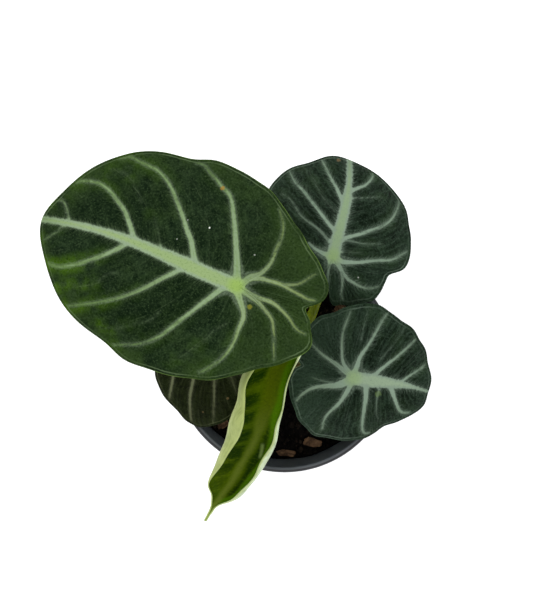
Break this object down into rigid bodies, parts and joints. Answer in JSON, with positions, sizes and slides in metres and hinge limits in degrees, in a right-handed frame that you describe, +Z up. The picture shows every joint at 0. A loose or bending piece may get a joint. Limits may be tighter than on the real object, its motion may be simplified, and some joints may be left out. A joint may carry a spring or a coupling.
{
  "type": "potted ninja alocasia",
  "caption": "Small velvet-leaved aroid houseplant with rounded shield leaves on slim petioles, one leaf still rolled, growing in a round plastic nursery pot.",
  "frame": {"origin": "centre of the pot's underside, on the table that the pot stands on", "axes": "+Z up; seen from above with +Y up the picture and +X to its right, the largest leaf points left and the rolled young leaf hangs over the near lip, towards -Y"},
  "size_m": [0.1729, 0.1741, 0.1876],
  "materials": {
    "pot": "satin black, faint moulding rings",
    "soil": "rough, loose peat and bark",
    "crown": "dull, papery",
    "bark": "rough, matt",
    "petiole": "smooth, soft sheen",
    "blade_high": "velvety, pale veins",
    "blade_cool": "velvety, silver veins",
    "blade_low": "velvety, dull with age",
    "blade_young": "tender, glossy"
  },
  "bodies": {
    "root": {"pot": "pot", "soil": "soil", "crown": "crown", "bark_chip_1": "bark", "bark_chip_2": "bark", "bark_chip_3": "bark", "bark_chip_4": "bark", "bark_chip_5": "bark", "leaf_high_petiole": "petiole", "leaf_back_petiole": "petiole", "leaf_side_petiole": "petiole", "leaf_low_petiole": "petiole", "leaf_young_petiole": "petiole", "leaf_high_blade": "blade_high", "leaf_back_blade": "blade_cool", "leaf_side_blade": "blade_cool", "leaf_low_blade": "blade_low", "leaf_young_blade": "blade_young"}
  },
  "joints": []
}
